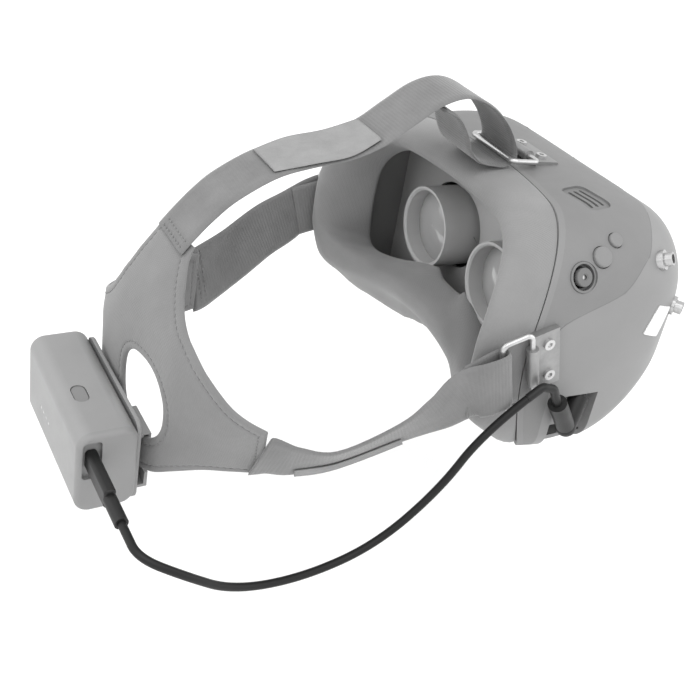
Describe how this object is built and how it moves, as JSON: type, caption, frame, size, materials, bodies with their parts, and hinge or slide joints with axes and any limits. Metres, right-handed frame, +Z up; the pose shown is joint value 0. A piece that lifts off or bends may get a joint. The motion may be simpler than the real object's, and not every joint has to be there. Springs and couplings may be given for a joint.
{
  "type": "fpv goggles",
  "caption": "Head-worn video goggles with a padded face rim, wire-ring strap joints, an open rear head pad and a clip-on battery joined by a power cable.",
  "frame": {"origin": "middle of the face opening, midway between the eyes", "axes": "+X to the wearer's left, -Y the way the wearer looks, +Z up the face"},
  "size_m": [0.2002, 0.2864, 0.1843],
  "materials": {
    "shell_front": "semi-gloss, smooth",
    "shell_middle": "fine matte texture",
    "window_dark": "gloss",
    "trim_dark": "matte",
    "frame_grey": "matte",
    "cushion_foam": "soft brushed foam cover",
    "interior_dark": "matte",
    "lens_clear": "polished",
    "display": "gloss",
    "board_green": "solder mask",
    "key_grey": "satin",
    "stick_rubber": "matte",
    "metal_wire": "satin",
    "metal_tab": "satin grey",
    "brass_thread": "machined",
    "label_white": "printed sheet",
    "webbing": "woven",
    "webbing_hook": "hook and loop tape",
    "panel_pad": "soft pad",
    "cable_rubber": "matte",
    "plug_rubber": "matte",
    "battery_shell": "satin",
    "battery_end": "satin",
    "cell_wrap": "shrink wrap",
    "led_clear": "clear"
  },
  "bodies": {
    "goggles": {"front_shell": "shell_front", "rear_shell": "shell_middle", "front_window": "window_dark", "intake_grille": "trim_dark", "vent_insert": "trim_dark", "carrier_frame": "frame_grey", "face_cushion": "cushion_foam", "eye_plate": "interior_dark", "main_board": "board_green", "fan_housing": "trim_dark", "stick_bezel": "trim_dark", "stick_base": "trim_dark", "key_board": "board_green", "antenna_connectors": "brass_thread", "power_jack": "trim_dark", "rear_label": "label_white", "right_tab": "metal_tab", "left_tab": "metal_tab", "top_tab": "metal_tab", "tab_screws": "metal_wire", "rear_panel": "panel_pad", "top_strap": "webbing", "right_strap": "webbing", "left_strap": "webbing", "top_pad": "webbing_hook", "right_pad": "webbing_hook", "left_pad": "webbing_hook", "cable": "cable_rubber", "dc_plug": "plug_rubber", "battery_case": "battery_shell", "battery_end_cap": "battery_end", "battery_cells": "cell_wrap", "battery_board": "board_green", "battery_leds": "led_clear", "battery_clip": "battery_end", "usb_socket": "metal_wire", "usb_plug": "plug_rubber"},
    "right_eyepiece": {"right_barrel": "interior_dark", "right_lens": "lens_clear", "right_screen": "display", "right_knob": "trim_dark"},
    "left_eyepiece": {"left_barrel": "interior_dark", "left_lens": "lens_clear", "left_screen": "display", "left_knob": "trim_dark"},
    "fan": {"fan_rotor": "trim_dark"},
    "back_key": {"back_button": "key_grey"},
    "shutter_key": {"shutter_button": "key_grey"},
    "gimbal": {"stick_gimbal": "metal_wire"},
    "stick": {"stick_stem": "metal_wire"},
    "thumb_cap": {"stick_cap": "stick_rubber"},
    "right_wire_ring": {"right_ring": "metal_wire"},
    "left_wire_ring": {"left_ring": "metal_wire"},
    "top_wire_ring": {"top_ring": "metal_wire"},
    "battery_key": {"battery_button": "key_grey"}
  },
  "joints": [
    {"name": "back_button_press", "type": "slide", "parent": "goggles", "child": "back_key", "axis": [0.6428, 0, -0.766], "range_m": [0, 0.0008], "stiffness_N_per_m": 900, "springref_m": -0.0006},
    {"name": "shutter_button_press", "type": "slide", "parent": "goggles", "child": "shutter_key", "axis": [0.7638, 0, -0.6455], "range_m": [0, 0.0008], "stiffness_N_per_m": 900, "springref_m": -0.0006},
    {"name": "stick_fore_aft", "type": "hinge", "parent": "goggles", "child": "gimbal", "pos_m": [-0.07646, -0.0305, 0.02986], "axis": [-0.4818, 0, -0.8763], "range_deg": [-6, 6], "stiffness_Nm_per_rad": 0.05},
    {"name": "stick_side_side", "type": "hinge", "parent": "gimbal", "child": "stick", "pos_m": [-0.07646, -0.0305, 0.02986], "axis": [0, 1, 0], "range_deg": [-6, 6], "stiffness_Nm_per_rad": 0.05},
    {"name": "stick_press", "type": "slide", "parent": "stick", "child": "thumb_cap", "axis": [0.8763, 0, -0.4818], "range_m": [0, 0.0005], "stiffness_N_per_m": 2000, "springref_m": -0.0005},
    {"name": "right_eye_spacing", "type": "slide", "parent": "goggles", "child": "right_eyepiece", "axis": [1, 0, 0], "range_m": [-0.003, 0.003]},
    {"name": "left_eye_spacing", "type": "slide", "parent": "goggles", "child": "left_eyepiece", "axis": [-1, 0, 0], "range_m": [-0.003, 0.003]},
    {"name": "fan_spin", "type": "hinge", "parent": "goggles", "child": "fan", "pos_m": [0, -0.1003, 0], "axis": [0, 1, 0], "continuous": true},
    {"name": "right_ring_swing", "type": "hinge", "parent": "goggles", "child": "right_wire_ring", "pos_m": [-0.0916, -0.0095, -0.004], "axis": [0, 0.2924, 0.9563], "range_deg": [-3, 3]},
    {"name": "left_ring_swing", "type": "hinge", "parent": "goggles", "child": "left_wire_ring", "pos_m": [0.0916, -0.0095, -0.004], "axis": [0, 0.2924, 0.9563], "range_deg": [-3, 3]},
    {"name": "top_ring_swing", "type": "hinge", "parent": "goggles", "child": "top_wire_ring", "pos_m": [0, -0.046, 0.0582], "axis": [1, 0, 0], "range_deg": [-1.5, 1.5]},
    {"name": "battery_button_press", "type": "slide", "parent": "goggles", "child": "battery_key", "axis": [0.0697, 0.0037, -0.9976], "range_m": [0, 0.0005], "stiffness_N_per_m": 1500, "springref_m": -0.0005}
  ]
}
